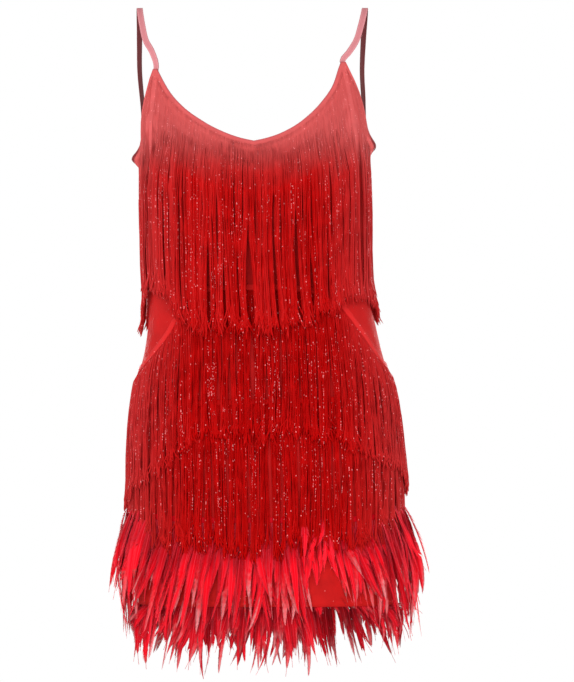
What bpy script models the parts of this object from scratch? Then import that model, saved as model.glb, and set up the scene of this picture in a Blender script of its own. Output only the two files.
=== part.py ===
"""A fringe mini dress as it is worn, standing open with nobody in it.

Two panels of base cloth are joined at the sides, two straps go over the shoulders, three tiers of
fringe and two rows of feathers are sewn on by their tapes. The origin lies midway between the
places where the straps rest on the shoulders. +X is the viewer's right, -Y the front, +Z up.
Lengths in this script are millimetres, and add_object turns them into metres.
"""

import math
from bisect import bisect_right
from functools import lru_cache, partial

import bmesh
import bpy
import numpy as np
from mathutils import Vector
from mathutils.bvhtree import BVHTree

METRES_PER_MM = 0.001

CLOTH = 1.6  # thickness of the base cloth
GAP = 0.3  # between pieces that are sewn to each other
TAPE_GAP = 0.45  # from the cloth to the edges of a tape, whose middle is nearer to its folds
HEM_HEIGHT = -825
PANEL_ROWS = 13
NECK_COLUMNS = 12  # of the panel's grid, from the centre to a strap point
BACK_COLUMNS = 14

STRAP_WIDTH = 8.6
STRAP_THICKNESS = 1.6
STRAP_STATIONS = 22

TAPE_WIDTH = 8
TAPE_INSET = 5  # from the edge of the panel to the tape of the upper fringe
ARMHOLE_FRINGE_ANGLE = 82  # where the side and back fringe starts, round the dress
FEATHER_TAPE_WIDTH = 9
STRAND_THICKNESS = 2.1
FEATHER_THICKNESS = 2.0
STEEP_SHARE = 0.45  # how much of a tape's drop counts when the strands are spread along it
STRAND_SPREAD = 1.2  # a strand's width over the width of its root
RUN_SHARES = (0.2, 0.4, 0.6, 0.8)  # where a straight run of tape is tried against the cloth
LIFT_ROUNDS = 3
RUN_SLACK = 0.4  # a strand's straight run may come nearer to the cloth than its bends by this
FALL_STEP = 5
SWAY = 0.6  # share of the figure's lean that a hanging strand follows
CLING = 0.02  # how far a strand swings in to the body for each millimetre that it falls

ROUNDNESS = 2.4  # exponent of the sections: 2 is an ellipse, more is squarer

# The figure, from the strap points to the hem: each row is a level section through the dress.
# front and back are the depths from the side seams, shift is the lean towards the viewer's right.
SECTION_COLUMNS = ("height", "half_width", "front", "back", "shift")
SECTIONS = (
    (-60, 149, 50, 78, -2),
    (-90, 153, 62, 84, -2),
    (-112, 156, 70, 87, 0),
    (-137, 159, 79, 89, 1),
    (-164, 160, 87, 91, 2),
    (-190, 158, 94, 92, 3),
    (-212, 156, 101, 91, 4),
    (-245, 155, 110, 90, 4),
    (-290, 154, 106, 86, 5),
    (-345, 152, 96, 80, 6),
    (-398, 152, 91, 79, 9),
    (-435, 157, 93, 88, 13),
    (-474, 164, 98, 100, 15),
    (-510, 173, 102, 110, 16),
    (-545, 178, 104, 117, 17),
    (-600, 182, 105, 123, 18),
    (-655, 184, 104, 125, 20),
    (-700, 184, 103, 122, 20),
    (-760, 181, 103, 116, 20),
    (-825, 178, 104, 112, 20),
)

# Lines round the dress. An angle is 0 at the front centre, 90 at either side seam, 180 behind.
# The height is raised by rise on the viewer's right and lowered by it on the left.
LINE_COLUMNS = ("angle", "height", "rise")
NECKLINE = ((0, -187, 0), (11, -183, 0), (23, -176, 0), (41, -158, 1), (55, -135, 3),
            (65, -111, 4), (73.5, -81, 5))
ARMHOLE = ((75.7, -81, 5), (77.5, -110, 5), (79, -137, 6), (80.5, -162, 7), (82.5, -184, 8),
           (86, -198, 8), (90, -204, 8))
BACK_EDGE = ((90, -204, 8), (98, -204, 7), (107, -200, 5), (118, -204, 3), (140, -211, 1),
             (180, -215, 0))

HIP_TAPE = ((0, -384, 0), (30, -385, 0), (45, -390, 0), (54, -399, 2), (60, -419, 8),
            (65, -441, 9), (70, -460, 7), (76, -480, 3), (90, -495, 3), (115, -468, 2),
            (140, -435, 1), (180, -415, 0))
LOWER_TAPE = ((0, -540, 0), (90, -540, 4), (180, -540, 0))
FEATHER_TAPE = ((0, -702, 0), (60, -700, 0), (90, -690, 0), (120, -700, 0), (180, -702, 0))
HEM_TAPE = ((0, -803, 0), (90, -803, 0), (180, -803, 0))

UPPER_ENDS = ((0, -446, 0), (25, -444, 2), (50, -432, 7), (62, -402, -4), (75, -396, -10),
              (90, -424, 8), (110, -440, 3), (180, -452, 0))
HIP_ENDS = ((0, -590, 0), (35, -590, 0), (50, -600, 4), (60, -622, 12), (75, -648, 14),
            (90, -672, 8), (115, -655, 4), (140, -628, 0), (180, -612, 0))
LOWER_ENDS = ((0, -748, 0), (40, -745, 0), (60, -736, 0), (75, -720, 0), (90, -704, -3),
              (110, -722, 0), (140, -740, 0), (180, -745, 0))
FEATHER_ENDS = ((0, -830, 0), (60, -826, 0), (90, -812, 0), (120, -826, 0), (180, -830, 0))
HEM_ENDS = ((0, -918, 0), (28, -916, 2), (48, -898, 18), (68, -904, 6), (90, -888, 6),
            (120, -908, 0), (180, -918, 0))
UNEVEN_ENDS = 5  # strand ends differ by up to this
UNEVEN_FEATHERS = 12

# How far the feathers' tips stand out from where the feathers are sewn on, with the same columns
# as a line: the reach is more on the viewer's right and less on the left.
FEATHER_REACH = ((0, 24, 0), (60, 28, 2), (90, 42, 9), (120, 32, 4), (180, 26, 0))
HEM_REACH = ((0, 12, 0), (60, 16, 3), (90, 24, 11), (120, 18, 5), (180, 14, 0))
CLEAR_OF_STRANDS = 8  # a feather lies close until this far below the fringe over it
CLOSE_LIFT = 0.8  # and is further from the cloth there by this much than its tape
PLUME_COLUMNS = ("fall", "width", "reach")
PLUME = ((0.0, 0.75, 0.0), (0.42, 1.0, 0.72), (1.0, 0.2, 1.0))
PLUME_WIDTH = 1.75  # a feather's width over the width of its root

# Where the straps run, on the viewer's right. The other one mirrors it. turn is the angle between
# the strap's width and the X axis, in degrees.
STRAP_COLUMNS = ("x", "y", "z", "turn")
STRAP = (
    (136.2, -28.6, -62, 26),
    (145.0, -20.0, -47, 16),
    (151.5, -9.0, -24, 10),
    (155.2, 3.0, -6.5, 4),
    (156.5, 13.0, 0.8, 0),
    (156.8, 24.0, -4.5, -8),
    (156.5, 33.0, -19, -22),
    (156.0, 41.0, -45, -36),
    (155.2, 47.0, -85, -45),
    (154.2, 48.5, -130, -50),
    (152.0, 46.0, -168, -52),
)
STRAP_FRONT = 74.6  # the angle round the dress where it is sewn on
STRAP_BACK = 107
STRAP_OVERLAP = 13  # how far each end goes down behind the panel
STRAP_LEAN_HEIGHT = -60  # from here down the straps lean as the dress does

# The cloth stands out at the top of each side seam.
UNDERARM_COLUMNS = ("side", "height", "reach")
UNDERARMS = ((-1, -210, 9), (1, -190, 9))
UNDERARM_DEPTH = 16
UNDERARM_HALF_WIDTH = 26

# How far the strands of each tier stand off the cloth, reached LIFT_RUN below their tape.
LIFT_COLUMNS = ("height", "distance")
UPPER_LIFT = ((-90, 2.6), (-230, 3.4), (-380, 5.4), (-470, 7.4))
HIP_LIFT = ((-380, 1.6), (-430, 2.4), (-520, 4.2), (-600, 6.4), (-690, 8.4))
LOWER_LIFT = ((-540, 1.2), (-600, 1.8), (-700, 3.2), (-755, 4.2))
LIFT_RUN = 16

RED_CLOTH = (0.58, 0.035, 0.03, 1)
RED_FRINGE = (0.50, 0.012, 0.012, 1)
RED_FEATHER = (0.75, 0.03, 0.05, 1)


@lru_cache(maxsize=None)
def column_of(rows, column):
    """The keys of a table in rising order, the values of a column and their slopes."""
    keys = np.array([row[0] for row in rows], float)
    values = np.array([row[column] for row in rows], float)
    if keys[0] > keys[-1]:
        keys, values = keys[::-1], values[::-1]
    return keys.tolist(), values.tolist(), np.gradient(values, keys).tolist()


def smooth(rows, column, at):
    """The column of a table at any value of its first column, on a curve through the rows."""
    keys, values, slopes = column_of(rows, column)
    at = min(max(at, keys[0]), keys[-1])
    i = min(bisect_right(keys, at) - 1, len(keys) - 2)
    run = keys[i + 1] - keys[i]
    t = (at - keys[i]) / run
    start = (2 * t**3 - 3 * t**2 + 1) * values[i] + (t**3 - 2 * t**2 + t) * run * slopes[i]
    end = (3 * t**2 - 2 * t**3) * values[i + 1] + (t**3 - t**2) * run * slopes[i + 1]
    return start + end


def on_line(rows, angle):
    """The value of a line at an angle round the dress, negative on the viewer's left."""
    side = math.copysign(1, angle)
    return smooth(rows, 1, abs(angle)) + side * smooth(rows, 2, abs(angle))


def ramp(share):
    """From 0 to 1 with a soft start and a soft end."""
    share = min(max(share, 0), 1)
    return share * share * (3 - 2 * share)


def section(height):
    """Half width, front depth, back depth and shift of the dress at a height."""
    return [smooth(SECTIONS, column, height) for column in range(1, len(SECTION_COLUMNS))]


def on_figure(angle, height):
    """The point at an angle and height round the dress."""
    half_width, front, back, shift = section(height)
    turn = math.radians(angle)
    across, along = math.sin(turn), -math.cos(turn)
    depth = front if along < 0 else back
    size = (abs(across) / half_width) ** ROUNDNESS + (abs(along) / depth) ** ROUNDNESS
    reach = size ** (-1 / ROUNDNESS)
    return Vector((shift + across * reach, along * reach, height))


def outwards(point):
    """The level direction that leads away from the dress."""
    half_width, front, back, shift = section(point.z)
    depth = front if point.y < 0 else back
    across, along = (point.x - shift) / half_width, point.y / depth
    return Vector((
        math.copysign(abs(across) ** (ROUNDNESS - 1), across) / half_width,
        math.copysign(abs(along) ** (ROUNDNESS - 1), along) / depth,
        0,
    )).normalized()


def angle_of(point):
    """The angle round the dress that a point lies at, from -180 to 180."""
    return math.degrees(math.atan2(point.x - section(point.z)[3], -point.y))


def stretched_underarm(point):
    """The point after the cloth at the top of the side seams has been pulled outwards."""
    for side, height, reach in UNDERARMS:
        if point.x * side > 0:
            level = math.exp(-((point.z - height) / UNDERARM_DEPTH) ** 2)
            middle = math.exp(-((point.y / UNDERARM_HALF_WIDTH) ** 2))
            point = point + Vector((side * reach * level * middle, 0, 0))
    return point


def panel_rows(top_edge):
    """Rows of points down a panel, below the angle and height of each column's top."""
    rows = []
    for row in range(PANEL_ROWS + 1):
        share = row / PANEL_ROWS
        rows.append([
            stretched_underarm(on_figure(angle, top + (HEM_HEIGHT - top) * share))
            for angle, top in top_edge
        ])
    return rows


def side_angle():
    """The angle at which a panel stops short of the side seam, measured from its own middle."""
    return 90 - math.degrees(GAP / 2 / section(HEM_HEIGHT)[0])


def front_edge():
    """The front panel's top edge, from one side seam to the other."""
    neck = [NECKLINE[-1][0] * i / NECK_COLUMNS for i in range(-NECK_COLUMNS, NECK_COLUMNS + 1)]
    arm = [row[0] for row in ARMHOLE[:-1]] + [side_angle()]
    left = [(-angle, on_line(ARMHOLE, -angle)) for angle in reversed(arm)]
    middle = [(angle, on_line(NECKLINE, angle)) for angle in neck]
    return left + middle + [(angle, on_line(ARMHOLE, angle)) for angle in arm]


def back_angles(steps):
    """Angles round the back, from the viewer's right side seam to the left one."""
    seam = side_angle()
    angles = [180 + seam * (2 * i / steps - 1) for i in range(steps + 1)]
    return [angle if angle <= 180 else angle - 360 for angle in angles]


def back_edge():
    """The back panel's top edge."""
    return [(angle, on_line(BACK_EDGE, angle)) for angle in back_angles(2 * BACK_COLUMNS)]


def outer_faces(panels):
    """The outside of the base cloth, for laying pieces on it."""
    points, faces = [], []
    for rows in panels:
        width = len(rows[0])
        first = len(points)
        points += [point for row in rows for point in row]
        for row in range(len(rows) - 1):
            for i in range(width - 1):
                corner = first + row * width + i
                below = corner + width
                faces.append((corner, below, below + 1))
                faces.append((corner, below + 1, corner + 1))
    return BVHTree.FromPolygons(points, faces)


FRONT_ROWS = panel_rows(front_edge())
BACK_ROWS = panel_rows(back_edge())
OUTER_CLOTH = outer_faces((FRONT_ROWS, BACK_ROWS))


def off_cloth(point):
    """How far a point lies outside the outer faces of the base cloth."""
    nearest, normal, _, distance = OUTER_CLOTH.find_nearest(point)
    return math.copysign(distance, (point - nearest).dot(normal))


def seat(point, distance):
    """The point moved level until it stands off the base cloth by that distance."""
    for _ in range(4):
        point = point + outwards(point) * (distance - off_cloth(point))
    return point


def material(name, colour, roughness):
    made = bpy.data.materials.new(name)
    made.use_nodes = True
    shader = made.node_tree.nodes["Principled BSDF"]
    shader.inputs["Base Color"].default_value = colour
    shader.inputs["Roughness"].default_value = roughness
    shader.inputs["Metallic"].default_value = 0
    return made


def add_object(name, work, finish):
    """An object from a closed bmesh in millimetres."""
    bmesh.ops.recalc_face_normals(work, faces=work.faces)
    bmesh.ops.scale(work, vec=(METRES_PER_MM,) * 3, verts=work.verts)
    mesh = bpy.data.meshes.new(name)
    work.to_mesh(mesh)
    work.free()
    mesh.shade_smooth()
    mesh.set_sharp_from_angle(angle=math.radians(40))
    mesh.materials.append(finish)
    made = bpy.data.objects.new(name, mesh)
    bpy.context.scene.collection.objects.link(made)
    return made


def thicken(work, thickness):
    """Extrudes the sheet away from the dress, or into it where thickness is negative."""
    made = bmesh.ops.extrude_face_region(work, geom=list(work.faces), use_keep_orig=True)
    for item in made["geom"]:
        if isinstance(item, bmesh.types.BMVert):
            item.co += outwards(item.co) * thickness


def panel(name, rows, finish):
    """A panel of base cloth inside its rows of points. Its quads are split like the outer faces."""
    work = bmesh.new()
    corners = [[work.verts.new(point) for point in row] for row in rows]
    for upper, lower in zip(corners, corners[1:]):
        for i in range(len(upper) - 1):
            work.faces.new((upper[i], lower[i], lower[i + 1]))
            work.faces.new((upper[i], lower[i + 1], upper[i + 1]))
    thicken(work, -CLOTH)
    return add_object(name, work, finish)


def strap_points(side):
    """Rows of x, y, z and turn along one strap, from the front panel to the back one."""
    inside = -CLOTH - 2 * GAP - STRAP_THICKNESS / 2
    drops = (STRAP_OVERLAP, STRAP_OVERLAP / 2, 0)

    def sewn(line, angle, drop):
        point = seat(on_figure(angle * side, on_line(line, angle * side) - drop), inside)
        outward = outwards(point)
        return (point.x, point.y, point.z, math.degrees(math.atan(-outward.x / outward.y)))

    front = [sewn(NECKLINE, STRAP_FRONT, drop) for drop in drops]
    back = [sewn(BACK_EDGE, STRAP_BACK, drop) for drop in reversed(drops)]
    over = []
    for x, y, z, turn in STRAP:
        lean = section(z)[3] * min(max(z / STRAP_LEAN_HEIGHT, 0), 1)
        over.append((x * side + lean, y, z, turn * side))
    return front + over + back


def even_curve(rows, count):
    """Rows at even distances on a smooth curve through the given ones."""
    places = np.array([row[:3] for row in rows])
    steps = np.linalg.norm(np.diff(places, axis=0), axis=1)
    along = np.concatenate([[0], np.cumsum(steps)]).tolist()
    table = tuple((at, *row) for at, row in zip(along, rows))
    return [
        [smooth(table, column, at) for column in range(1, len(table[0]))]
        for at in np.linspace(0, along[-1], count)
    ]


def strap(name, side, finish):
    """A flat strap, swept along its points with its width across the shoulder."""
    path = even_curve(strap_points(side), STRAP_STATIONS)
    work = bmesh.new()
    rings = []
    for i, (x, y, z, turn) in enumerate(path):
        before, after = path[max(i - 1, 0)], path[min(i + 1, len(path) - 1)]
        along = (Vector(after[:3]) - Vector(before[:3])).normalized()
        angle = math.radians(turn)
        width = Vector((math.cos(angle), math.sin(angle), 0))
        width = (width - along * width.dot(along)).normalized() * STRAP_WIDTH / 2
        thick = width.cross(along).normalized() * STRAP_THICKNESS / 2
        centre = Vector((x, y, z))
        corners = (width + thick, width - thick, -width - thick, -width + thick)
        rings.append([work.verts.new(centre + corner) for corner in corners])
    for first, second in zip(rings, rings[1:]):
        for i in range(4):
            work.faces.new((first[i], first[i - 1], second[i - 1], second[i]))
    work.faces.new(rings[0])
    work.faces.new(rings[-1])
    return add_object(name, work, finish)


def line_points(rows, angles):
    """Points on the dress along a line, at each of the angles."""
    return [on_figure(angle, on_line(rows, angle)) for angle in angles]


def spread(points, cells):
    """Points along a line so that the strands between them are evenly spread."""
    line = np.array([tuple(point) for point in points])
    moves = np.diff(line, axis=0)
    weight = np.hypot(np.hypot(moves[:, 0], moves[:, 1]), STEEP_SHARE * moves[:, 2])
    along = np.concatenate([[0], np.cumsum(weight)])
    wanted = np.linspace(0, along[-1], cells + 1)
    return [Vector([np.interp(at, along, line[:, axis]) for axis in range(3)]) for at in wanted]


def inwards(points, distance, out, plumb_ends=True):
    """The line moved across the cloth, away from the edge, and stood off the cloth by out.

    Where two tapes meet at a side seam, their ends are cut plumb."""
    moved = []
    for i, point in enumerate(points):
        along = points[min(i + 1, len(points) - 1)] - points[max(i - 1, 0)]
        if plumb_ends and i in (0, len(points) - 1):
            along.z = 0
        across = along.cross(outwards(point)).normalized()
        moved.append(seat(point + across * distance, out))
    return lifted(moved, lambda point: out) if out > 0 else moved


def lifted(points, needed):
    """The points moved outwards where a straight run between two of them would come too close.

    needed gives the least distance from the cloth at a point."""
    for _ in range(LIFT_ROUNDS):
        lifts = [0.0] * len(points)
        for i in range(len(points) - 1):
            for share in RUN_SHARES:
                place = points[i].lerp(points[i + 1], share)
                low = needed(place) - off_cloth(place)
                lifts[i] = max(lifts[i], low)
                lifts[i + 1] = max(lifts[i + 1], low)
        points = [point + outwards(point) * lift for point, lift in zip(points, lifts)]
    return points


def hanging(root_height, lift):
    """How far a strand from that height stands off the cloth, as a function of a point on it."""
    keys, distances = zip(*[(-height, distance) for height, distance in lift])

    def needed(point):
        start = ramp((root_height - point.z) / LIFT_RUN)
        return GAP + start * (np.interp(-point.z, keys, distances) - GAP)

    return needed


def least_off(needed, point):
    """The least distance from the cloth on a strand's straight run."""
    return max(needed(point) - RUN_SLACK, GAP)


def fall(root, end, needed):
    """The path of a strand that hangs from root, as closely spaced points."""
    point = root.copy()
    path = [root.copy()]
    steps = math.ceil((root.z - end) / FALL_STEP)
    step = (root.z - end) / steps
    for _ in range(steps):
        lower = point.z - step
        sway = SWAY * (section(lower)[3] - section(point.z)[3])
        point = Vector((point.x + sway, point.y, lower))
        spare = off_cloth(point) - needed(point)
        point -= outwards(point) * min(CLING * step, max(spare, 0))
        if spare < 0:
            point = seat(point, needed(point))
        path.append(point)
    return path


def at_height(path, height):
    """Where a falling path passes a height."""
    heights = [-point.z for point in path]
    return Vector([
        np.interp(-height, heights, [point[axis] for point in path]) for axis in range(3)
    ])


def level_edge(centre, width):
    """The two ends of a strand's level edge, the one further round the dress second."""
    outward = outwards(centre)
    along = Vector((-outward.y, outward.x, 0)) * width / 2
    return centre - along, centre + along


def tape(work, tops, bottoms):
    """The tape's faces. It returns the corners along the tape's lower edge."""
    upper = [work.verts.new(point) for point in tops]
    lower = [work.verts.new(point) for point in bottoms]
    for i in range(len(upper) - 1):
        work.faces.new((upper[i], lower[i], lower[i + 1], upper[i + 1]))
    return lower


def lock(work, root, edges):
    """One strand or feather below two corners of the tape, through its level edges in turn."""
    above = root
    for ends in edges:
        below = [work.verts.new(point) for point in ends]
        work.faces.new((above[0], below[0], below[1], above[1]))
        above = below


def fringe(name, line, strands, ends, lift, knees, finish, inset=0, plumb_ends=True):
    """A tape along the line with strands below every second stretch of it.

    knees are the shares of a strand's fall at which it bends."""
    stations = spread(line, 2 * strands + 1)
    work = bmesh.new()
    upper_edge = inwards(stations, inset, TAPE_GAP, plumb_ends)
    lower = tape(work, upper_edge, inwards(stations, inset + TAPE_WIDTH, TAPE_GAP, plumb_ends))
    for i in range(strands):
        left, right = lower[2 * i + 1], lower[2 * i + 2]
        middle = (left.co + right.co) / 2
        level = right.co - left.co
        width = STRAND_SPREAD * math.hypot(level.x, level.y)
        end = on_line(ends, angle_of(middle)) + UNEVEN_ENDS * math.sin(2.4 * i)
        needed = hanging(middle.z, lift)
        path = fall(middle, end, needed)
        start = min(left.co.z, right.co.z)
        centres = [at_height(path, start + (end - start) * knee) for knee in knees]
        least = partial(least_off, needed)
        centres = lifted([middle] + centres, least)[1:]
        edges = [
            level_edge(centre, width * (1 - 0.25 * knee)) for centre, knee in zip(centres, knees)
        ]
        lock(work, (left, right), edges)
    thicken(work, STRAND_THICKNESS)
    return add_object(name, work, finish)


def feathers(name, line, count, ends, close_until, reaches, out, finish):
    """A tape along the line with a feather below every second stretch of it.

    Each feather lies close down to the line close_until and then arches out to its tip."""
    stations = spread(line, 2 * count + 1)
    work = bmesh.new()
    lower = tape(work, inwards(stations, 0, out), inwards(stations, FEATHER_TAPE_WIDTH, out))
    lift = math.copysign(CLOSE_LIFT, out)
    for i in range(count):
        left, right = lower[2 * i + 1], lower[2 * i + 2]
        middle = (left.co + right.co) / 2
        angle = angle_of(middle)
        end = on_line(ends, angle) + UNEVEN_FEATHERS * math.sin(2.1 * i + 0.6)
        close = on_line(close_until, angle) - CLEAR_OF_STRANDS
        reach = on_line(reaches, angle) * (1 + 0.2 * math.sin(1.7 * i))
        width = PLUME_WIDTH * (right.co - left.co).length
        held = seat(Vector((middle.x, middle.y, max(close, HEM_HEIGHT + 1))), out + lift)
        outward = outwards(held)
        edges = []
        for fallen, share, standing in PLUME:
            centre = held + outward * reach * standing
            centre.z = close + (end - close) * fallen
            edges.append(level_edge(centre, width * share))
        lock(work, (left, right), edges)
    thicken(work, FEATHER_THICKNESS)
    return add_object(name, work, finish)


def side_and_back_line():
    """Down the front armhole on the viewer's right, round the back and up the other armhole."""
    arm = np.linspace(ARMHOLE_FRINGE_ANGLE, side_angle(), 60)
    behind = back_angles(300)
    right = line_points(ARMHOLE, arm)
    left = line_points(ARMHOLE, -arm[::-1])
    return right + line_points(BACK_EDGE, behind) + left


def build():
    for item in list(bpy.data.objects):
        bpy.data.objects.remove(item)
    cloth = material("base_cloth", RED_CLOTH, 0.55)
    strand = material("fringe_yarn", RED_FRINGE, 0.4)
    feather = material("dyed_feather", RED_FEATHER, 0.7)

    panel("front_panel", FRONT_ROWS, cloth)
    panel("back_panel", BACK_ROWS, cloth)
    strap("strap_left", -1, cloth)
    strap("strap_right", 1, cloth)

    neckline = line_points(NECKLINE, np.linspace(-71, 71, 300))
    fringe("fringe_neckline", neckline, 34, UPPER_ENDS, UPPER_LIFT, (0.16, 0.34, 1), strand,
           TAPE_INSET, plumb_ends=False)
    fringe("fringe_sides_and_back", side_and_back_line(), 42, UPPER_ENDS, UPPER_LIFT,
           (0.14, 0.4, 1), strand, TAPE_INSET)

    halves = {"front": np.linspace(-side_angle(), side_angle(), 300), "back": back_angles(300)}
    for half, angles in halves.items():
        fringe(f"fringe_middle_{half}", line_points(HIP_TAPE, angles), 25, HIP_ENDS, HIP_LIFT,
               (0.2, 0.5, 1), strand)
        fringe(f"fringe_lower_{half}", line_points(LOWER_TAPE, angles), 23, LOWER_ENDS,
               LOWER_LIFT, (0.3, 0.62, 1), strand)
        feathers(f"feathers_upper_{half}", line_points(FEATHER_TAPE, angles), 18, FEATHER_ENDS,
                 LOWER_ENDS, FEATHER_REACH, TAPE_GAP, feather)
        feathers(f"feathers_hem_{half}", line_points(HEM_TAPE, angles), 20, HEM_ENDS,
                 ((0, HEM_HEIGHT, 0), (180, HEM_HEIGHT, 0)), HEM_REACH,
                 -CLOTH - GAP - FEATHER_THICKNESS, feather)


build()
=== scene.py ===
# Fringe mini dress in its worn form: base cloth, straps, fringe tiers and feather rows
import math

import bmesh
import bpy
import numpy as np
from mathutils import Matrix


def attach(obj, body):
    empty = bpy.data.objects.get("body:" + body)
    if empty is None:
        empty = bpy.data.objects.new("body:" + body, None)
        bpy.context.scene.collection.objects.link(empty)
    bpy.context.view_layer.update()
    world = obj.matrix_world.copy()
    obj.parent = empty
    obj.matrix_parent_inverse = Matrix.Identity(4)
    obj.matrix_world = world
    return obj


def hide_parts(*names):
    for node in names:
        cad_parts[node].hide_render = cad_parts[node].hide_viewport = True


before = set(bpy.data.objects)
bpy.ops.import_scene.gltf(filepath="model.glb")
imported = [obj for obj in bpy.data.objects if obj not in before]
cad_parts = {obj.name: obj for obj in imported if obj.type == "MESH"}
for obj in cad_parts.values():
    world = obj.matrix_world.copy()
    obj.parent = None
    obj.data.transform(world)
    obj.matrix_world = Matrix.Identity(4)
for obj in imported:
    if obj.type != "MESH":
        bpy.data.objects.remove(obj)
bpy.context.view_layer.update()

mm = 0.001
scene = bpy.context.scene

# The figure under the cloth, in mm: height, half width, front depth, back depth, lean to the right
figureRows = (
    (-60, 149, 50, 78, -2), (-90, 153, 62, 84, -2), (-112, 156, 70, 87, 0),
    (-137, 159, 79, 89, 1), (-164, 160, 87, 91, 2), (-190, 158, 94, 92, 3),
    (-212, 156, 101, 91, 4), (-245, 155, 110, 90, 4), (-290, 154, 106, 86, 5),
    (-345, 152, 96, 80, 6), (-398, 152, 91, 79, 9), (-435, 157, 93, 88, 13),
    (-474, 164, 98, 100, 15), (-510, 173, 102, 110, 16), (-545, 178, 104, 117, 17),
    (-600, 182, 105, 123, 18), (-655, 184, 104, 125, 20), (-700, 184, 103, 122, 20),
    (-760, 181, 103, 116, 20), (-825, 178, 104, 112, 20),
)
roundness = 2.4  # 2 is an ellipse, more is squarer
hemHeight = -825.0
sideAngle = 89.95
neckEnd = 73.5  # the angle at which the neckline meets the inner edge of a strap
armStart = 75.7  # the angle at which the armhole starts, outside the strap

# Lines round the dress: angle from the front centre, height, and how much higher on the right
lines = {
    "neckline": ((0, -187, 0), (11, -183, 0), (23, -176, 0), (41, -158, 1), (55, -135, 3),
                 (65, -111, 4), (neckEnd, -81, 5)),
    "armhole": ((armStart, -81, 5), (77.5, -110, 5), (79, -137, 6), (80.5, -162, 7),
                (82.5, -184, 8), (86, -198, 8), (90, -204, 8)),
    "backEdge": ((90, -204, 8), (98, -204, 7), (107, -200, 5), (118, -204, 3),
                 (140, -211, 1), (180, -215, 0)),
    "hipTape": ((0, -384, 0), (30, -385, 0), (45, -390, 0), (54, -399, 2), (60, -419, 8),
                (65, -441, 9), (70, -460, 7), (76, -480, 3), (90, -495, 3), (115, -468, 2),
                (140, -435, 1), (180, -415, 0)),
    "lowerTape": ((0, -540, 0), (90, -540, 4), (180, -540, 0)),
    "featherTape": ((0, -702, 0), (60, -700, 0), (90, -690, 0), (120, -700, 0),
                    (180, -702, 0)),
    "hemTape": ((0, -803, 0), (90, -803, 0), (180, -803, 0)),
    "upperEnds": ((0, -446, 0), (25, -444, 2), (50, -432, 7), (62, -402, -4), (75, -396, -10),
                  (90, -424, 8), (110, -440, 3), (180, -452, 0)),
    "hipEnds": ((0, -590, 0), (35, -590, 0), (50, -600, 4), (60, -622, 12), (75, -648, 14),
                (90, -672, 8), (115, -655, 4), (140, -628, 0), (180, -612, 0)),
    "lowerEnds": ((0, -748, 0), (40, -745, 0), (60, -736, 0), (75, -720, 0), (90, -704, -3),
                  (110, -722, 0), (140, -740, 0), (180, -745, 0)),
    "featherEnds": ((0, -832, 0), (50, -836, 0), (66, -846, 0), (90, -836, 0),
                    (120, -832, 0), (180, -832, 0)),
    "hemEnds": ((0, -918, 0), (28, -916, 2), (48, -898, 18), (68, -904, 6), (90, -888, 6),
                (120, -908, 0), (180, -918, 0)),
    # where the painted top light ends: above it the red cloth and fringe are painted lighter coral, as
    # if lit from above
    "litCoral": ((0, -214, 0), (40, -206, 0), (66, -204, 0), (80, -222, 4), (90, -238, 6),
              (110, -240, 4), (180, -244, 0)),
    "featherReach": ((0, 22, 0), (60, 24, 2), (90, 28, 3), (120, 27, 3), (180, 24, 0)),
    "hemReach": ((0, 12, 0), (60, 16, 3), (90, 24, 11), (120, 18, 5), (180, 14, 0)),
}

underarms = ((-1, -207, 16), (1, -188, 13))  # side, height, reach of the cloth pulled outwards
underarmDepth = 14
underarmHalfWidth = 26
topLightFade = 64  # the height over which the painted top light, lit coral, turns to deep red


def smoothAt(rows, column, at):
    table = np.array(rows, float)
    if table[0, 0] > table[-1, 0]:
        table = table[::-1]
    keys, values = table[:, 0], table[:, column]
    slopes = np.gradient(values, keys)
    at = np.clip(np.asarray(at, float), keys[0], keys[-1])
    i = np.clip(np.searchsorted(keys, at, side="right") - 1, 0, len(keys) - 2)
    run = keys[i + 1] - keys[i]
    t = (at - keys[i]) / run
    start = (2 * t**3 - 3 * t**2 + 1) * values[i] + (t**3 - 2 * t**2 + t) * run * slopes[i]
    end = (3 * t**2 - 2 * t**3) * values[i + 1] + (t**3 - t**2) * run * slopes[i + 1]
    return start + end


def lineAt(name, angle):
    angle = (np.asarray(angle, float) + 180) % 360 - 180
    rows = lines[name]
    return smoothAt(rows, 1, np.abs(angle)) + np.sign(angle) * smoothAt(rows, 2, np.abs(angle))


def ramp(share):
    share = np.clip(share, 0, 1)
    return share * share * (3 - 2 * share)


def sectionAt(height):
    return [smoothAt(figureRows, column, height) for column in (1, 2, 3, 4)]


def onFigure(angle, height):
    halfWidth, front, back, shift = sectionAt(height)
    turn = np.radians(angle)
    across, along = np.sin(turn), -np.cos(turn)
    depth = np.where(along < 0, front, back)
    size = (np.abs(across) / halfWidth) ** roundness + (np.abs(along) / depth) ** roundness
    reach = size ** (-1 / roundness)
    return np.stack([shift + across * reach, along * reach, height + 0 * reach], -1)


# How far points lie off the figure, and the level direction that leads away from it
def offFigure(points):
    halfWidth, front, back, shift = sectionAt(points[..., 2])
    depth = np.where(points[..., 1] < 0, front, back)
    across = (points[..., 0] - shift) / halfWidth
    along = points[..., 1] / depth
    power = roundness - 1
    size = (np.abs(across) ** roundness + np.abs(along) ** roundness) ** (1 / roundness)
    slope = np.stack([
        np.sign(across) * np.abs(across / size) ** power / halfWidth,
        np.sign(along) * np.abs(along / size) ** power / depth,
        0 * across,
    ], -1)
    steep = np.linalg.norm(slope, axis=-1)
    return (size - 1) / steep, slope / steep[..., None]


def seated(points, distance):
    for _ in range(4):
        off, outward = offFigure(points)
        points = points + outward * (distance - off)[..., None]
    return points


def besides(outward):  # the level direction round the dress
    return np.stack([-outward[..., 1], outward[..., 0], 0 * outward[..., 0]], -1)


def unit(vectors):
    return vectors / np.linalg.norm(vectors, axis=-1)[..., None]


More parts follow.
